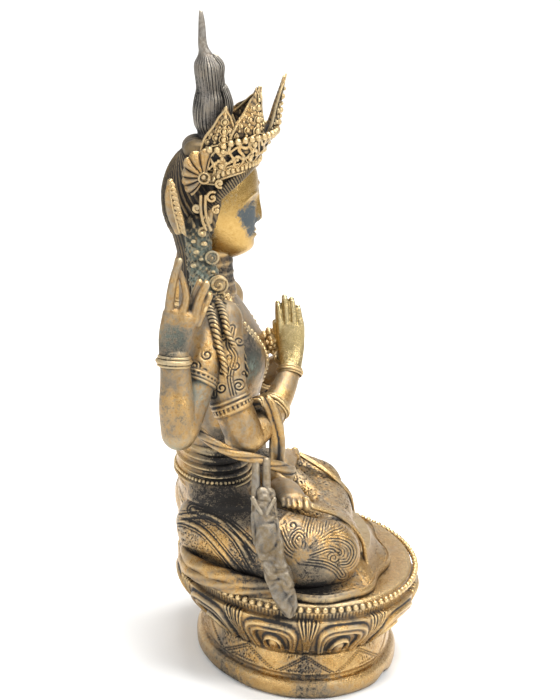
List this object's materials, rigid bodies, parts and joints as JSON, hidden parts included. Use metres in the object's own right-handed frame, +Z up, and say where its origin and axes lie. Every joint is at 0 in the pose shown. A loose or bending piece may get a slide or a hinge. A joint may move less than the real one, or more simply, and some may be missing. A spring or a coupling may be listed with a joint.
{
  "type": "avalokiteshvara statue",
  "caption": "Seated four-armed bodhisattva in worn cast brass, two hands joined at the chest and two raised at the sides, with a tall leaf crown, on an oval lotus base.",
  "frame": {"origin": "middle of the base's foot, on the surface that it stands on", "axes": "+Z up, the figure faces -Y, its right hand is towards -X"},
  "size_m": [0.1825, 0.1722, 0.3831],
  "materials": {
    "figure_brass": "worn cast brass, rubbed bright on the high points and dark brown in the hollows",
    "base_brass": "worn cast brass with a brown patina"
  },
  "bodies": {
    "root": {"figure": "figure_brass", "lotus_base": "base_brass"}
  },
  "joints": []
}
